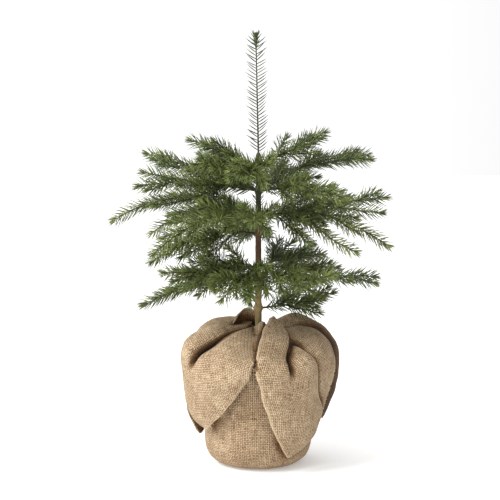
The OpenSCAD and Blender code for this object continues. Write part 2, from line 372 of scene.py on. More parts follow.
def mix(nt, fac, a, b, kind="MIX"):
    n = nt.nodes.new("ShaderNodeMix")
    n.data_type = "RGBA"
    n.blend_type = kind
    for sock, x in ((n.inputs[0], fac), (n.inputs[6], a), (n.inputs[7], b)):
        if isinstance(x, (int, float)):
            sock.default_value = x
        elif isinstance(x, tuple):
            sock.default_value = (*x, 1)
        else:
            nt.links.new(x, sock)
    return n.outputs[2]


def attribute(nt, name):
    n = nt.nodes.new("ShaderNodeAttribute")
    n.attribute_name = name
    return n.outputs["Fac"]


def bump(nt, p, height, strength, distance):
    b = nt.nodes.new("ShaderNodeBump")
    b.inputs["Strength"].default_value = strength
    b.inputs["Distance"].default_value = distance
    nt.links.new(height, b.inputs["Height"])
    nt.links.new(b.outputs["Normal"], p.inputs["Normal"])


def srgb(r, g, b):
    """A colour given by its three screen values, from 0 to 255."""
    f = lambda c: (c / 255 / 12.92) if c / 255 <= 0.04045 else ((c / 255 + 0.055) / 1.055) ** 2.4
    return (f(r), f(g), f(b))


def mottled(name, rough, grain, dark, light):
    """A material whose colour varies between two with a fine noise."""
    m, nt, p = material(name, rough)
    nt.links.new(ramp(nt, noise(nt, *grain), [(0.3, dark), (0.7, light)]), p.inputs["Base Color"])
    return m, nt, p


def needle_material(name, dark, mid, light):
    """Each needle has its own tone, and is a little paler towards its tip."""
    m, nt, p = material(name, 0.55)
    tone = attribute(nt, "tone")
    big = noise(nt, 22, 2)
    t = math_node(nt, "ADD", math_node(nt, "MULTIPLY", tone, 0.6), math_node(nt, "MULTIPLY", big, 0.4))
    base = ramp(nt, t, [(0.25, dark), (0.5, mid), (0.8, light)])
    tip = math_node(nt, "MULTIPLY", attribute(nt, "along"), 0.15)
    nt.links.new(mix(nt, tip, base, light), p.inputs["Base Color"])
    return m


GREEN = needle_material("needle_green", srgb(42, 54, 32), srgb(86, 100, 50), srgb(138, 150, 78))
STEM = mottled("shoot_stem", 0.7, (300, 3), srgb(46, 50, 30), srgb(78, 68, 44))[0]
PLASTIC = mottled("pot_plastic", 0.55, (60, 3), (0.012, 0.012, 0.012), (0.022, 0.021, 0.02))[0]
THREAD = mottled("loose_thread", 0.95, (500, 3), srgb(176, 148, 112), srgb(232, 210, 176))[0]
STEEL, nt, p = mottled("steel", 0.35, (400, 2), (0.3, 0.3, 0.3), (0.45, 0.45, 0.46))
p.inputs["Metallic"].default_value = 1
CEMENT, nt, p = mottled("cement", 0.9, (160, 6, 0.7), (0.22, 0.21, 0.2), (0.42, 0.41, 0.38))
bump(nt, p, noise(nt, 300, 5, 0.7), 0.5, 0.0008)
TWINE, nt, p = mottled("twine", 0.9, (700, 4), srgb(110, 84, 54), srgb(170, 138, 98))
bump(nt, p, noise(nt, 900, 3, stretch=(1, 1, 2)), 0.7, 0.0008)


def bark_material():
    """Moulded bark with an upright grain, straw-coloured at the foot and greener towards the top."""
    m, nt, p = material("trunk_bark", 0.85)
    tc = nt.nodes.new("ShaderNodeTexCoord")
    sep = nt.nodes.new("ShaderNodeSeparateXYZ")
    nt.links.new(tc.outputs["Object"], sep.inputs[0])
    height = math_node(nt, "MULTIPLY", sep.outputs["Z"], 2.0)
    grain = noise(nt, 90, 5, 0.65, stretch=(1, 1, 0.22))
    blotch = math_node(nt, "MULTIPLY", math_node(nt, "SUBTRACT", noise(nt, 30, 2), 0.5), 0.3)
    stops = [(0.38, srgb(168, 150, 100)), (0.5, srgb(150, 124, 84)), (0.6, srgb(128, 94, 66)),
             (0.7, srgb(112, 88, 66)), (0.78, srgb(84, 86, 62))]
    along_trunk = ramp(nt, math_node(nt, "ADD", height, blotch), stops)
    furrows = ramp(nt, grain, [(0.3, (0.32, 0.3, 0.28)), (0.62, (1, 1, 1))])
    nt.links.new(mix(nt, 0.75, along_trunk, furrows, "MULTIPLY"), p.inputs["Base Color"])
    bump(nt, p, grain, 0.8, 0.0012)
    return m


def burlap_material():
    """Coarse plain weave in the cloth's flat coordinates, with a painted highlight along its edges, paler
    where it frays, and painted shade deep in its folds.
    """
    m, nt, p = material("burlap", 0.95)
    weave = nt.nodes.new("ShaderNodeAttribute")
    weave.attribute_name = "weave"
    sep = nt.nodes.new("ShaderNodeSeparateXYZ")
    nt.links.new(weave.outputs["Vector"], sep.inputs[0])

    def yarn_noise(stretch):
        """Unevenness of the yarns that run one way."""
        mp = nt.nodes.new("ShaderNodeMapping")
        mp.inputs["Scale"].default_value = stretch
        nt.links.new(weave.outputs["Vector"], mp.inputs["Vector"])
        n = nt.nodes.new("ShaderNodeTexNoise")
        n.inputs["Scale"].default_value = 520
        n.inputs["Detail"].default_value = 2
        nt.links.new(mp.outputs["Vector"], n.inputs["Vector"])
        return n.outputs["Fac"]

    wander = math_node(nt, "MULTIPLY", math_node(nt, "SUBTRACT", noise(nt, 45, 2), 0.5), 0.8)
    waves = []
    for axis in "XY":
        count = math_node(nt, "ADD", math_node(nt, "DIVIDE", sep.outputs[axis], PITCH), wander)
        waves.append(math_node(nt, "SINE", math_node(nt, "MULTIPLY", count, math.pi)))
    over = math_node(nt, "MULTIPLY", *waves)
    yarns = [yarn_noise((1, 0.12, 1)), yarn_noise((0.12, 1, 1))]
    cover = math_node(nt, "MAXIMUM", *[
        math_node(nt, "MULTIPLY", math_node(nt, "ABSOLUTE", wave), math_node(nt, "ADD", uneven, 0.35))
        for wave, uneven in zip(waves, yarns)])
    height = math_node(nt, "ADD", cover, math_node(nt, "MULTIPLY", over, 0.35))
    slub = math_node(nt, "ADD", *[math_node(nt, "MULTIPLY", x, 0.25) for x in yarns])
    tone = math_node(nt, "ADD", slub, math_node(nt, "MULTIPLY", noise(nt, 26, 3), 0.2))
    tone = math_node(nt, "ADD", tone, math_node(nt, "MULTIPLY", noise(nt, 900, 3, 0.7), 0.3))
    tone = math_node(nt, "ADD", tone, math_node(nt, "MULTIPLY", over, 0.05))
    yarn = ramp(nt, tone, [(0.36, srgb(131, 103, 72)), (0.5, srgb(181, 155, 122)),
                           (0.64, srgb(226, 203, 170))])
    gaps = ramp(nt, cover, [(0.46, srgb(66, 44, 22)), (0.72, (1, 1, 1))])
    # painted highlight: the hem value lightens every edge of the folded cloth; along the side ply's outer edge
    # it also stands for the paler frayed yarn
    edge = math_node(nt, "MULTIPLY", attribute(nt, "hem"), 0.45)
    woven = mix(nt, edge, mix(nt, 0.9, yarn, gaps, "MULTIPLY"), srgb(222, 198, 164))
    # painted shade: the deep value darkens the colour where folds lie close over one another and where the
    # edges of other layers rest above
    shade = ramp(nt, attribute(nt, "deep"), [(0.04, (1, 1, 1)), (0.2, srgb(180, 154, 122)),
                                             (0.45, srgb(92, 68, 42))])
    nt.links.new(mix(nt, 1.0, woven, shade, "MULTIPLY"), p.inputs["Base Color"])
    bump(nt, p, height, 0.9, 0.0009)
    p.inputs["Sheen Weight"].default_value = 0.06
    p.inputs["Sheen Tint"].default_value = (0.8, 0.6, 0.4, 1)
    p.inputs["Sheen Roughness"].default_value = 0.6
    return m


PITCH = 2.7 * MM                 # from one yarn to the next
BARK = bark_material()
BURLAP = burlap_material()

COLOURS = {"trunk_core": STEEL, "pot": PLASTIC, "ballast": CEMENT, "neck_tie": TWINE, "whorl_collars": BARK,
           "leader_cap": BARK, "bark_sleeve": BARK, "burlap_cloth": BURLAP}
COLOURS.update({name: STEEL for name in NODES if name.endswith("_wire")})
for name, mat in COLOURS.items():
    NODES[name].data.materials.clear()
    NODES[name].data.materials.append(mat)

# ---------------------------------------------------------------- branches
# small shoots near the trunk, too fine for the solids: place along the branch in millimetres, turn to the side
# in radians, rise against a forward step of one, and length in millimetres
SMALL = [(24, 0.8, 0.36, 42), (36, -0.75, -0.3, 46), (50, 0.6, -0.5, 40), (60, -0.5, 0.45, 38)]
# and more of them where the branches leave a wide gap
MORE = {"branch_17": [(30, 0.3, -0.8, 50), (52, -0.2, -0.7, 52), (84, 0.4, -0.5, 44)],
        "branch_25": [(16, 0.5, 0.9, 50), (40, -0.3, 0.8, 46), (66, 0.5, 0.7, 40), (90, 0.12, 0.25, 62)],
        "branch_19": [(34, 0.3, 0.9, 44), (70, 0.3, 0.7, 42)],
        "branch_15": [(20, -0.4, -0.8, 56), (44, 0.4, -0.7, 50)],
        "branch_23": [(14, -0.7, 0.8, 44), (30, 0.6, 0.8, 40)],
        "branch_21": [(10, 0.75, -0.15, 64), (24, 0.5, -0.5, 62), (38, 0.6, -0.25, 58), (14, 0.9, 0.35, 54)],
        "branch_22": [(12, -0.9, -0.3, 58), (26, -0.7, 0.1, 56)],
        "branch_24": [(16, 0.8, 0.5, 40), (26, -0.4, 0.8, 40)]}
# how many millimetres before its solid a main stem ends, as its needles reach on; for the others it is 1
SHORTER = {"branch_03": 8, "branch_05": 10, "branch_07": 4, "branch_08": 9, "branch_14": 11, "branch_15": 11,
           "branch_20": 14}
TWIG_SHORTER = 5
# these branches have only the first two small shoots
OPEN_ABOVE = ("branch_01", "branch_02", "branch_03", "branch_10")
BRANCH_RADII = [(1.5 * MM, 0.75 * MM), (1.0 * MM, 0.6 * MM)]
for body in sorted(frame["bodies"]):
    if not body.startswith("branch_"):
        continue
    rng = np.random.default_rng(int(body[-2:]) + 40)
    lines = shoots_of(body, body + "_wire", body + "_spray")
    lines = [cut(lines[0], SHORTER.get(body, 1) * MM)] + [cut(x, TWIG_SHORTER * MM) for x in lines[1:]]
    small = SMALL[:2] if body in OPEN_ABOVE else SMALL
    lines += [side_shoot(lines[0], a * MM, b, c, d * MM) for a, b, c, d in small + MORE.get(body, [])]
    # painted light and shade: sprays reaching towards the front get a lighter green, and those reaching back a
    # darker one
    towards_front = -unit(lines[0][-1] - lines[0][0])[1]
    ob = shoot_mesh("Spray_" + body[-2:], lines, rng, BRANCH_RADII, starts=[3 * MM, 1 * MM],
                    tint=0.5 + 0.17 * towards_front)
    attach(ob, body)
    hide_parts(body + "_spray")

# the trunk: one bark skin, and a rough swelling where each whorl of branches leaves it
sleeve = node_points("bark_sleeve")
low, high = sleeve[:, 2].min(), sleeve[:, 2].max()
r_low, r_high = (np.hypot(*sleeve[np.abs(sleeve[:, 2] - z) < 1 * MM][:, :2].T).max() for z in (low, high))
BARK_SIDES, BARK_ROUGH = 40, 0.55 * MM


def bark_r(z):
    """Radius of the tapered trunk at a height."""
    return r_low + (r_high - r_low) * (z - low) / (high - low)


def lathe(name, profiles, node, seed):
    """Rough round bodies about the trunk's axis, each given by heights and radii, in place of a solid."""
    parts = Parts()
    for zs, rs in profiles:
        z, t = np.meshgrid(zs, np.linspace(0, 2 * np.pi, BARK_SIDES, endpoint=False), indexing="ij")
        q = np.stack([np.cos(t) * 9, np.sin(t) * 9, z / (9 * MM)], axis=-1).reshape(-1, 3)
        rough = [bnoise.noise(Vector(x) * 0.5 + Vector((seed, 0, 0))) + 0.5 * bnoise.noise(Vector(x) * 1.3)
                 for x in q]
        r = np.array(rs)[:, None] + np.array(rough).reshape(z.shape) * BARK_ROUGH
        v = np.stack([r * np.cos(t), r * np.sin(t), z], axis=-1)
        parts.add(v.reshape(-1, 3), ring_faces(len(zs), BARK_SIDES))
    ob = parts.mesh(name)
    ob.data.materials.append(BARK)
    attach(ob, "base")
    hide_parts(node)


zs = np.linspace(low, high, 200)
lathe("Trunk_bark", [(zs, bark_r(zs))], "bark_sleeve", 1.5)
# the heights of the collars' own points, in groups, one for each whorl
levels = []
for z in sorted({round(float(z), 4) for z in node_points("whorl_collars")[:, 2]}):
    if not levels or z - levels[-1][-1] > 12 * MM:
        levels.append([])
    levels[-1].append(z)
KNOT_HALF, KNOT_PROUD = 9 * MM, 2.7
k = np.linspace(-1, 1, 21)
knots = []
for level in levels:
    zs = (level[0] + level[-1]) / 2 + k * KNOT_HALF
    knots.append((zs, bark_r(zs) + (KNOT_PROUD * np.exp(-(k * 1.9) ** 2) - 0.25) * MM))
lathe("Whorl_knots", knots, "whorl_collars", 4.5)
cap = node_points("leader_cap")[:, 2]
k = np.linspace(0, 1, 16)
bud = (cap.min() + (cap.max() - cap.min()) * k, r_high + (0.7 - 2.6 * k ** 3) * MM)
lathe("Leader_bud", [bud], "leader_cap", 8.5)

# needles on the trunk itself, from the top whorl to the leader's foot
line = np.array([[0, 0, z] for z in np.linspace(0.378, 0.452, 60)])
ob = shoot_mesh("Trunk_needles", [line], np.random.default_rng(11), [(2 * MM, 2 * MM)], per_mm=0.9,
                length=15 * MM, lean=48, tint=0.3)
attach(ob, "base")

# the leader: sparse needles in two rows, and a closer tuft at its tip
lead = node_points("leader_spray")
foot = np.array(JOINTS["leader"]["pos_m"])
top = lead[lead[:, 2] > lead[:, 2].max() - 0.5 * MM].mean(0)
line = cut(foot + (top - foot) * np.linspace(0.0, 1, 60)[:, None], 6 * MM)
two_rows = lambda i, rng: (i % 2) * np.pi + rng.normal(0, 0.22, len(i))
ob = shoot_mesh("Leader", [line], np.random.default_rng(7), [(1.3 * MM, 0.8 * MM)], per_mm=0.42,
                length=17 * MM, starts=[5 * MM], around=two_rows, lean=62, thick=1.2 * MM, tint=0.15,
                bow=0.12, jitter=0.2)
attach(ob, "leader")
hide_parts("leader_spray")
ob = shoot_mesh("Leader_tip", [line[-7:]], np.random.default_rng(8), [(1.3 * MM, 0.9 * MM)], per_mm=1.6,
                length=10 * MM, lean=40, thick=1.2 * MM, tint=0.15)
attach(ob, "leader")

# ---------------------------------------------------------------- the burlap square, gathered and folded down
# Each part of the cloth is a net of points, from the neck outward: angle from the front towards the right
# in degrees, distance from the trunk and height, both in millimetres.
WRAP = [(0, 0.6), (36, 0.6), (50, 0.7), (60, 2.6), (67, 7), (73.5, 13.5), (78, 24), (81, 38), (82, 55),
        (83, 75), (84, 98), (85.5, 120), (88, 142), (90, 160), (84, 178), (68, 192), (48, 200), (30, 202),
        (20, 203.5), (12, 205), (8.5, 208.5)]
FRONT_LEFT = [
    [(-120, 11, 205), (-100, 12, 207), (-80, 13, 208), (-68, 13, 206), (-60, 11, 204), (-50, 11, 205),
     (-30, 12, 206), (-10, 12, 205), (8, 11, 204)],
    [(-118, 48, 203), (-88, 54, 211), (-68, 59, 210), (-57, 58, 202), (-55, 42, 193), (-46, 53, 199),
     (-29, 51, 207), (-8, 49, 201), (5, 48, 194)],
    [(-116, 80, 196), (-86, 86, 203), (-66, 94, 199), (-57, 93, 190), (-58, 66, 181), (-46, 88, 186),
     (-31, 89, 192.5), (-13, 92, 184), (0, 88, 179)],
    [(-112, 98, 180), (-84, 107, 188), (-67, 113, 184), (-61, 110, 178), (-63, 88, 170), (-52, 106, 174),
     (-36, 109, 177), (-16.5, 112, 170), (-4, 106, 169.5)],
    [(-110, 106, 158), (-88, 115, 164), (-75, 116, 160), (-67, 114.5, 158), (-64, 110, 153),
     (-55, 113, 152), (-38, 113, 152), (-20, 112.5, 147), (-7, 109, 149)],
    [(-106, 106, 132), (-92, 113, 134), (-82, 115, 131), (-72, 114.5, 128), (-63, 113, 126),
     (-52, 113, 126), (-40, 112, 127), (-27, 110, 129), (-14, 106, 133)],
    [(-98, 106, 108), (-88, 110, 106), (-80, 111.5, 104), (-72, 111.5, 103), (-64, 110, 102),
     (-55, 109, 102), (-45, 108, 103), (-34, 106, 107), (-22, 103, 111)],
    [(-84, 103, 84), (-78, 105, 82), (-72, 106.5, 80), (-67, 107, 79), (-61, 106.5, 79), (-54, 105, 80),
     (-47, 104, 82), (-40, 102, 85), (-33, 101, 90)],
    [(-68, 100, 71), (-65, 101, 70), (-62, 101.5, 69), (-59, 101.5, 68), (-56, 101, 68), (-53, 101, 69),
     (-50, 100.5, 70), (-47, 100, 72), (-44, 99, 74)],
    [(-55, 98, 63.5), (-54.5, 98, 63), (-54, 98.2, 62.5), (-53.5, 98.2, 62), (-53, 98.2, 62),
     (-52.5, 98, 62.5), (-52, 98, 63), (-51.5, 98, 63.5), (-51, 98, 64)],
]
FRONT_RIGHT = [
    [(34, 27, 221), (39, 29, 223), (44, 30, 224.5), (50, 30, 223), (50, 23, 214), (52, 24, 214),
     (54, 24, 213), (58, 24, 212), (62, 24, 211)],
    [(12, 42, 210), (21, 48, 213), (31, 52, 213), (46, 53, 208), (45, 40, 195), (48, 41, 196),
     (50, 42, 196), (53, 43, 196), (56, 44, 196)],
    [(4, 64, 201), (13, 73, 203), (23, 77, 201), (35, 77, 193), (34, 58, 177), (37, 63, 182), (39, 66, 184),
     (42, 69, 186), (46, 72, 187)],
    [(-1, 93, 185), (7, 100, 185), (14, 101, 181), (23, 99, 178), (25, 80, 164), (28, 92, 170),
     (32, 97, 176), (36, 98, 181), (41, 96, 184)],
    [(-2, 112, 159), (5, 117, 160), (11, 117, 161), (20, 115, 167), (24, 100, 158), (29, 111, 162),
     (34, 115, 168), (40, 115.5, 173), (46, 112, 173)],
    [(0.8, 113, 137), (7.5, 116, 140), (14, 117, 143), (21, 114.5, 146), (26, 111, 146), (31, 115, 147),
     (37, 117.5, 148), (43, 117.5, 148), (50, 114, 148)],
    [(3.9, 110, 114), (10, 113, 117), (16, 114, 119), (21.5, 113.5, 120), (26.5, 113.5, 120),
     (32, 115, 120), (38, 115.5, 119), (44.5, 114.5, 117), (52, 111.5, 115)],
    [(8.2, 104, 88), (15, 107, 90), (22, 108.5, 91), (29, 109.5, 92), (35, 110, 92), (41, 110.5, 92),
     (47.5, 110, 91), (54.5, 109, 88), (63, 106, 84)],
    [(14.5, 99, 61), (20, 101, 60), (25, 102.5, 59), (30, 103, 58), (35.5, 103.5, 57), (41, 103.5, 56),
     (47, 102, 54), (53, 99.5, 52), (58.5, 96.5, 51)],
    [(21, 95, 41), (24, 95.7, 40), (27, 96.3, 39.5), (30, 96.5, 39), (33, 96.5, 38.5), (36, 96.3, 38),
     (39.5, 95.5, 37.5), (42.5, 94, 37), (45.5, 92.5, 36.5)],
    [(28, 90.5, 25), (28.5, 90.6, 24.5), (29, 90.8, 24.2), (29.5, 91, 24), (30, 91, 24), (30.5, 91, 24),
     (31, 90.8, 24.2), (31.5, 90.6, 24.5), (32, 90.5, 25)],
]
RIGHT_PLY = [
    [(30, 12, 202), (48, 12, 202), (66, 12, 202), (84, 12, 202), (100, 12, 202), (112, 12, 202)],
    [(32, 34, 199), (48, 35, 200), (66, 36, 201), (84, 36, 202), (100, 36, 202), (112, 36, 202)],
    [(34, 48, 190), (48, 53, 195), (64, 58, 201), (80, 60, 205), (95, 60, 207), (108, 59, 206)],
    [(30, 76, 172), (40, 84, 179), (53, 91, 187), (67, 92, 193), (81, 90, 196), (94, 89, 197)],
    [(30, 88, 157), (41, 98, 165), (53, 106, 173.5), (65, 108, 177.5), (76, 108.5, 179.5),
     (88, 109.5, 178)],
    [(34, 95, 137), (44, 102, 143), (54, 107.5, 147), (64, 110.5, 150), (73, 112.5, 151), (82, 114.5, 151)],
    [(40, 96, 109), (48, 102, 112), (56, 105, 115.5), (64, 107.5, 118), (71, 108.5, 120), (78, 109.5, 121)],
    [(42, 92, 80), (49, 96, 83), (56, 99, 87), (62, 101, 90), (68, 102.5, 93), (73.5, 103.5, 95)],
    [(44, 90, 56), (48, 92, 58), (53, 93, 62), (57, 94.5, 66), (62, 96, 70), (66.5, 98.5, 73)],
]
BACK_RIGHT = [
    [(78, 10, 203), (98, 11, 204), (118, 12, 205), (138, 11, 204), (158, 10, 203)],
    [(80, 32, 198), (98, 34, 205), (118, 34, 208), (138, 34, 206), (158, 32, 201)],
    [(84, 52, 198), (102, 60, 213), (120, 60, 221), (138, 60, 214), (156, 56, 203)],
    [(84, 80, 184), (102, 93, 201), (118, 95, 208), (134, 94, 201), (151, 88, 186)],
    [(84, 96, 170), (99, 114, 184), (116, 116, 189), (131, 112, 183), (147, 102, 170)],
    [(84, 101, 152), (98, 122, 163), (113, 125, 167), (129, 118, 161), (143, 107, 151)],
    [(84, 102, 132), (98, 123.5, 139), (112, 125, 142), (127, 119, 139), (141, 108, 131)],
    [(85, 101, 108), (98, 119, 112), (112, 121, 113), (124, 115, 111), (137, 107, 105)],
    [(88, 98, 84), (99, 109, 84), (111, 112, 83), (121, 109, 81), (130, 102, 77)],
    [(98, 97, 62), (104, 100, 60), (110, 101, 58), (116, 101, 57), (121, 98, 58)],
]
BACK_LEFT = [
    [(-168, 11, 206), (-146, 12, 209), (-126, 12, 210), (-106, 12, 208), (-86, 11, 206)],
    [(-162, 60, 203), (-143, 64, 211), (-124, 65, 213), (-106, 62, 208), (-92, 54, 200)],
    [(-157, 92, 186), (-140, 99, 196), (-124, 101, 198), (-110, 97, 190), (-98, 86, 182)],
    [(-152, 106, 162), (-138, 113, 169), (-124, 115, 171), (-110, 110, 160), (-99, 101, 156)],
    [(-148, 108, 132), (-136, 114, 136), (-124, 116, 138), (-110, 112, 132), (-98, 104, 128)],
    [(-143, 105, 104), (-133, 110, 105), (-122, 114, 105), (-109, 114, 104), (-97, 108, 102)],
    [(-135, 100, 76), (-127, 105, 75), (-117, 110, 74), (-107, 112, 74), (-96, 108, 76)],
    [(-122, 94, 52), (-117, 96, 49), (-111, 98, 47), (-104, 98.5, 47), (-96, 97, 50)],
    [(-110, 89, 38), (-108, 89.5, 37), (-106, 90, 36), (-103, 90, 36), (-99, 90, 38)],
]
PEAK = [
    [(-60, 14, 200), (-90, 18, 200), (-120, 20, 201), (-150, 18, 202), (170, 12, 202)],
    [(-75, 38, 205), (-92, 37, 210), (-110, 34, 214), (-132, 28, 214), (-170, 16, 212)],
    [(-80, 39, 211), (-93, 34, 218), (-110, 29, 224), (-132, 23, 226), (-170, 13, 222)],
    [(-85, 34, 215), (-96, 29, 223), (-111, 24, 230), (-130, 18, 232), (-165, 11, 226)],
]
KNOT = [
    [(-40, 10, 205), (-22, 10, 207), (-4, 11, 210), (10, 14, 213), (22, 15, 213)],
    [(-38, 22, 203), (-22, 23, 206), (-5, 25, 211), (10, 27, 217), (20, 27, 216)],
    [(-32, 31, 201), (-19, 33, 203), (-5, 35, 206.5), (9, 37, 210), (17, 37, 210)],
    [(-23, 44, 199), (-15, 45.5, 199), (-5, 47, 198.5), (6, 47, 197.5), (13, 46, 197)],
]


def catmull(p, n):
    """Smooths a row of values, any shape past the first axis, to n points for each step."""
    p = np.concatenate([2 * p[:1] - p[1:2], p, 2 * p[-1:] - p[-2:-1]])
    t = (np.arange(n) / n).reshape((1, n) + (1,) * (p.ndim - 1))
    out = between(*(x[:, None] for x in (p[:-3], p[1:-2], p[2:-1], p[3:])), t)
    return np.concatenate([out.reshape((-1,) + p.shape[1:]), p[-2:-1]])


def round_to_xyz(g):
    """Places, in millimetres, of points given by angle, distance and height."""
    a = np.radians(g[..., 0])
    return np.stack([g[..., 1] * np.sin(a), -g[..., 1] * np.cos(a), g[..., 2]], axis=-1)


def net(rows, n_down=8, n_across=9):
    """A smooth grid of places from the few points of a net."""
    g = np.array(rows, float)
    g[..., 0] = np.degrees(np.unwrap(np.radians(g[..., 0]), axis=1))
    g = catmull(g, n_down)
    g = catmull(g.swapaxes(0, 1), n_across).swapaxes(0, 1)
    return round_to_xyz(g)


def grid_lengths(p):
    """Distances down and across a grid, in millimetres, which the weave follows."""
    down = np.pad(np.cumsum(np.linalg.norm(np.diff(p, axis=0), axis=2), axis=0), ((1, 0), (0, 0)))
    across = np.pad(np.cumsum(np.linalg.norm(np.diff(p, axis=1), axis=2), axis=1), ((0, 0), (1, 0)))
    across -= across[:, across.shape[1] // 2][:, None]
    return down, across


def flatten(p, uv, rounds=420):
    """Relaxes flat places until neighbours lie as far apart as they do in the folded cloth."""
    links = []
    for a, b in ((0, 1), (1, 0), (1, 1), (1, -1), (0, 3), (3, 0)):
        n, m = p.shape[0] - a, p.shape[1] - abs(b)
        one = (slice(0, n), slice(0, m) if b >= 0 else slice(-b, None))
        two = (slice(a, None), slice(b, None) if b >= 0 else slice(0, m))
        if max(a, abs(b)) == 3:
            step = np.linalg.norm(np.diff(p, axis=0 if a else 1), axis=2)
            long = step[:-2] + step[1:-1] + step[2:] if a else step[:, :-2] + step[:, 1:-1] + step[:, 2:]
        else:
            long = np.linalg.norm(p[two] - p[one], axis=2)
        links.append((one, two, long))
    uv = uv.copy()
    for _ in range(rounds):
        push, n = np.zeros_like(uv), np.zeros(uv.shape[:2] + (1,))
        for one, two, long in links:
            d = uv[two] - uv[one]
            size = np.linalg.norm(d, axis=2) + 1e-9
            c = d * (0.5 * (size - long) / size)[..., None]
            push[one] += c
            push[two] -= c
            n[one] += 1
            n[two] += 1
        uv += 1.6 * push / n
    return uv


def rumple(p, size, depth, seed):
    """Slight, broad unevenness of a lying cloth."""
    q = p.reshape(-1, 3)
    shift = [[bnoise.noise(Vector(x / size) + Vector((seed, k * 7.3, 0))) for k in range(3)] for x in q]
    return (q + depth * np.array(shift)).reshape(p.shape)


# creases low in the wrap: angle, width, depth, and the heights between which each runs
CREASES = [(-31, 2.6, 2.6, 20, 100), (-40, 4, -1.6, 20, 90), (-6, 3, 1.2, 10, 120), (12, 4, 1.0, 5, 60),
           (150, 4, 2.2, 20, 120), (-160, 5, 2.0, 20, 120), (70, 4, 1.8, 10, 90)]
WRAP_R = 81                      # radius at which the wrap's weave has its true width
PLY = 3.4                        # between the two layers of a folded corner


def wrapped():
    """The cloth under and round the pot and in to its neck: a grid of places, and their flat places."""
    profile = catmull(np.array(WRAP, float), 4)
    a, row = np.meshgrid(np.linspace(-180, 180, 180, endpoint=False), np.arange(len(profile)))
    rad, hgt = profile[row, 0].copy(), profile[row, 1].copy()
    wave = lambda times, shift: np.cos(np.radians(a * times + shift))
    upper = np.clip((hgt - 95) / 90, 0, 1) * np.clip((rad - 22) / 30, 0, 1)
    rad += upper * 3.0 * (wave(9, 40) + 0.7 * wave(14, -70) + 0.5 * wave(5, 10))
    wall = np.clip((hgt - 12) / 30, 0, 1) * np.clip((150 - hgt) / 60, 0, 1)
    rad += wall * 0.9 * wave(6, 25)
    for where, wide, deep, low, high in CREASES:
        tall = np.clip((hgt - low) / 25, 0, 1) * np.clip((high - hgt) / 25, 0, 1)
        rad += deep * tall * np.exp(-((a - where) / wide) ** 2)
    p = round_to_xyz(np.stack([a, rad, hgt], axis=-1))
    p[..., :2] = rumple(p, 38, 1.6, 3.1)[..., :2]
    down = np.concatenate([[0], np.cumsum(np.linalg.norm(np.diff(profile, axis=0), axis=1))])[row]
    return p, np.stack([np.radians(a) * WRAP_R, down], axis=-1)


class Cloth:
    """The cloth's points as its parts are added, with what is known of each of them."""

    def __init__(self):
        self.points, self.flat, self.out, self.hem, self.layer = [], [], [], [], []
        self.faces, self.count = [], 0

    def add(self, points, flat, out, hem, layer):
        """Adds places, their flat places, outward directions, hem and layer, and returns their numbers."""
        size = len(points)
        rows = (self.points, self.flat, self.out, self.hem, self.layer)
        for row, new in zip(rows, (points, flat, out, hem, np.full(size, layer))):
            row.append(new)
        self.count += size
        return np.arange(self.count - size, self.count)

    def add_grid(self, g, flat, out, hem, layer, wrap=False):
        here = self.add(g.reshape(-1, 3), flat.reshape(-1, 2), out.reshape(-1, 3), hem.reshape(-1), layer)
        self.faces += grid_faces(g.shape[0], g.shape[1], int(here[0]), wrap)
        return here.reshape(g.shape[:2])

    def line(self, g, uv, n, ids, layer):
        """Lays the under layer of a folded corner, which meets the upper one along the fold all round."""
        rows, cols = g.shape[:2]
        i, j = np.meshgrid(np.arange(rows), np.arange(cols), indexing="ij")
        near = np.minimum(np.minimum(j, cols - 1 - j), (rows - 1 - i) * 0.7) / 5.0
        under = g + n * (PLY * np.sqrt(np.clip(near, 0, 1)))[..., None]
        inner = near > 0
        ids = ids.copy()
        ids[inner] = self.add(under[inner], uv[inner], n[inner], np.zeros(int(inner.sum())), layer)
        self.faces += [(int(ids[a, b]), int(ids[a + 1, b]), int(ids[a + 1, b + 1]), int(ids[a, b + 1]))
                       for a in range(rows - 1) for b in range(cols - 1)]


burlap = Cloth()
body, flat = wrapped()
out = unit(np.cross(np.roll(body, -1, 1) - np.roll(body, 1, 1), np.gradient(body, axis=0)))
burlap.add_grid(body, flat, out, np.zeros(body.shape[:2]), 0, wrap=True)
NETS = (("front_left", FRONT_LEFT), ("front_right", FRONT_RIGHT), ("right_ply", RIGHT_PLY),
        ("back_right", BACK_RIGHT), ("back_left", BACK_LEFT), ("peak", PEAK), ("knot", KNOT))
grids, ids = {}, {}
for k, (name, rows) in enumerate(NETS):
    g = rumple(net(rows), 30, 2.2, 11.7 * k + 5)
    g = rumple(g, 11, 0.5, 3.7 * k + 1)
    down, across = grid_lengths(g)
    uv = flatten(g, np.stack([across, down], axis=-1))
    n = unit(np.cross(np.gradient(g, axis=1), np.gradient(g, axis=0)))
    if name == "peak":
        # it stands up, so its outward side is the one towards the front
        n *= np.sign(n[..., 1:2])
    to_right = across[:, -1:] - across
    to_edge = np.minimum(np.minimum(down[-1][None] - down, across - across[:, :1]), to_right)
    # painted highlight: the hem value lightens the cloth along every edge of each part
    hem = np.exp(-(to_edge / 2.6) ** 2)
    if name == "right_ply":
        # its outer edge is frayed the most
        hem += 0.9 * np.exp(-(to_right / 3.2) ** 2)
    grids[name], ids[name] = g, burlap.add_grid(g, uv, -n, hem, k + 1)
    if name not in ("peak", "knot"):
        burlap.line(g, uv, n, ids[name], k + 1)
points, out, layer = np.vstack(burlap.points), np.vstack(burlap.out), np.concatenate(burlap.layer)
cloth = make_mesh("Burlap", points * MM, burlap.faces)

# painted shade: the cloth's colour is darkened where one fold lies close over another
REACH, RAYS = 20.0, 20


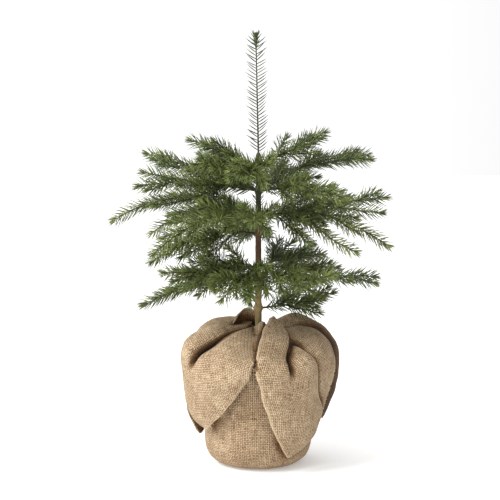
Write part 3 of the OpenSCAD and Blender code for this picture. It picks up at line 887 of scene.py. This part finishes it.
def crowding(points, out, faces):
    """How much of the space before each point is taken up by other folds, from 0 to 1."""
    tree = BVHTree.FromPolygons([tuple(x) for x in points.tolist()], faces)
    k = np.arange(RAYS) + 0.5
    tilt, spin = np.arccos(1 - 0.92 * k / RAYS), np.pi * (1 + 5 ** 0.5) * k
    rays = np.stack([np.sin(tilt) * np.cos(spin), np.sin(tilt) * np.sin(spin), np.cos(tilt)], axis=-1)
    ref = np.where(np.abs(out[:, 2:3]) > 0.9, [[1.0, 0, 0]], [[0, 0, 1.0]])
    e1 = unit(np.cross(ref, out))
    e2 = np.cross(out, e1)
    taken = np.ones(len(points))
    for m in np.where(np.linalg.norm(out, axis=1) > 0.5)[0]:
        start = Vector(points[m] + out[m] * 1.2)
        total = 0.0
        for x in rays[:, :1] * e1[m] + rays[:, 1:2] * e2[m] + rays[:, 2:] * out[m]:
            hit = tree.ray_cast(start, Vector(x), REACH)[3]
            if hit is not None:
                total += 1 - hit / REACH
        taken[m] = total / RAYS
    return taken


def rim_shade(points, out, layer, rims):
    """Shade along the line where the edge of another layer rests close above each point."""
    shade = np.zeros(len(points))
    for first in range(0, len(points), 2000):
        here = slice(first, first + 2000)
        for k, rim, wide in rims:
            gap = rim[None] - points[here][:, None]
            above = (gap * out[here][:, None]).sum(-1)
            aside = np.sqrt(np.maximum((gap ** 2).sum(-1) - above ** 2, 0))
            mark = np.exp(-(aside / wide) ** 2) * (1 - above / 18)
            mark = np.where((above > 0.8) & (above < 16), mark, 0).max(1)
            shade[here] = np.maximum(shade[here], np.where(layer[here] == k, 0, mark))
    return shade


# each layer's two side edges and its lower edge, with the width of the shade along them
rims = []
for k, g in enumerate(grids.values()):
    rims += [(k + 1, g[::2, 0], 5.0), (k + 1, g[::2, -1], 10.0), (k + 1, g[-1, ::2], 5.0)]
# painted shade: the darkening from nearby folds and from the edges of other layers resting above is summed
# into the deep value
deep = crowding(points, out, burlap.faces) + 0.5 * rim_shade(points, out, layer, rims)
# painted shade: the wrap under the folded corners is a little darker all over
deep[layer == 0] += 0.07
# painted shade: the back corner's front face, which stands in the shade of the ply before it, is darkened
i, j = np.meshgrid(*(np.arange(n) for n in ids["back_right"].shape), indexing="ij")
deep[ids["back_right"]] += 0.42 * np.clip(1.5 - j / 10, 0, 1) * np.clip((i - 14) / 10, 0, 1)

me = cloth.data
weave = np.zeros((len(points), 3))
weave[:, :2] = np.vstack(burlap.flat) * MM
me.attributes.new("weave", "FLOAT_VECTOR", "POINT").data.foreach_set("vector", weave.reshape(-1))
me.attributes.new("hem", "FLOAT", "POINT").data.foreach_set("value", np.concatenate(burlap.hem))
me.attributes.new("deep", "FLOAT", "POINT").data.foreach_set("value", deep)
me.materials.append(BURLAP)
thick = cloth.modifiers.new("Thickness", "SOLIDIFY")
thick.thickness = 1.3 * MM
thick.offset = 0
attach(cloth, "base")
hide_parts("burlap_cloth")

# loose threads where the weave has frayed along the cut edges: the net, which of its columns is the edge,
# its first and last rows, and how many threads
FRAYED = (("right_ply", -1, 12, None, 150), ("front_right", 0, 12, None, 12),
          ("front_left", -1, 12, None, 14), ("back_right", -1, 12, None, 70),
          ("back_left", 0, 12, None, 60), ("right_ply", -1, 20, 46, 24))
DROOP = np.array([0, 0, -0.35])
rng = np.random.default_rng(21)
threads = Parts()
for name, edge, first, last, many in FRAYED:
    g = grids[name][first:last]
    border, inward = g[:, edge], g[:, 1 if edge == 0 else -2]
    lie = arc(border)
    for x in rng.uniform(0.04, 0.98, many) * lie[-1]:
        a, before, after = at(border, lie, np.array([x, max(x - 2, 0), min(x + 2, lie[-1])]))
        away = unit(a - at(inward, arc(inward), np.array([x]))[0])
        d = unit(away + unit(after - before) * rng.normal(0, 0.7) + DROOP)
        k = np.linspace(0, 1, 5)[:, None]
        line = a - away * 1.5 + rng.uniform(2.5, 6.5) * (d * k + DROOP * k * k)
        line += rng.normal(0, 0.18, (5, 3)) * k
        threads.add(*tube(line * MM, np.linspace(0.46, 0.26, 5) * MM, 3))
fray = threads.mesh("Frayed_threads")
fray.data.materials.append(THREAD)
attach(fray, "base")

# ---------------------------------------------------------------- floor, light, camera
bpy.ops.mesh.primitive_plane_add(size=8, location=(0, 1.2, -0.0002))
floor = bpy.context.object
floor.name = "Floor"
FLOOR, nt, p = material("floor_white", 0.9)
p.inputs["Base Color"].default_value = (0.93, 0.93, 0.93, 1)
p.inputs["Emission Color"].default_value = (1, 1, 1, 1)
p.inputs["Emission Strength"].default_value = 0.24
floor.data.materials.append(FLOOR)

world = bpy.data.worlds.new("World")
bpy.context.scene.world = world
world.use_nodes = True
wt = world.node_tree
around_us = wt.nodes.new("ShaderNodeTexCoord")
parts = wt.nodes.new("ShaderNodeSeparateXYZ")
wt.links.new(around_us.outputs["Generated"], parts.inputs[0])
# a large soft source fills the left, so light falls off towards the right
fall = math_node(wt, "MAXIMUM", math_node(wt, "MULTIPLY_ADD", parts.outputs["X"], -0.86, 1.0), 0.16)
grey = wt.nodes.new("ShaderNodeCombineXYZ")
for k in range(3):
    wt.links.new(fall, grey.inputs[k])
wt.links.new(grey.outputs[0], wt.nodes["Background"].inputs["Color"])
wt.nodes["Background"].inputs["Strength"].default_value = 1.12


def area(name, where, look, size, power):
    d = bpy.data.lights.new(name, "AREA")
    d.shape, d.size, d.size_y, d.energy = "RECTANGLE", size[0], size[1], power
    o = bpy.data.objects.new(name, d)
    bpy.context.scene.collection.objects.link(o)
    o.location = where
    o.rotation_mode = "QUATERNION"
    o.rotation_quaternion = (Vector(look) - Vector(where)).to_track_quat("-Z", "Y")


area("Key", (-1.7, -1.1, 2.0), (0, 0, 0.2), (0.9, 0.9), 34)

bpy.context.scene.view_settings.view_transform = "Standard"
# the camera looks at MIDDLE from AWAY metres, a little from above, and sees WIDTH metres across there
MIDDLE, LIFT, AWAY, WIDTH, SENSOR = Vector((-0.0125, 0, 0.3215)), math.radians(7.5), 2.3, 0.747, 36
cam = bpy.data.objects.new("Camera", bpy.data.cameras.new("Camera"))
bpy.context.scene.collection.objects.link(cam)
bpy.context.scene.camera = cam
back = Vector((0, -math.cos(LIFT), math.sin(LIFT)))
cam.location = MIDDLE + back * AWAY
cam.rotation_mode = "QUATERNION"
cam.rotation_quaternion = (-back).to_track_quat("-Z", "Y")
cam.data.sensor_width = SENSOR
cam.data.lens = SENSOR * AWAY / WIDTH
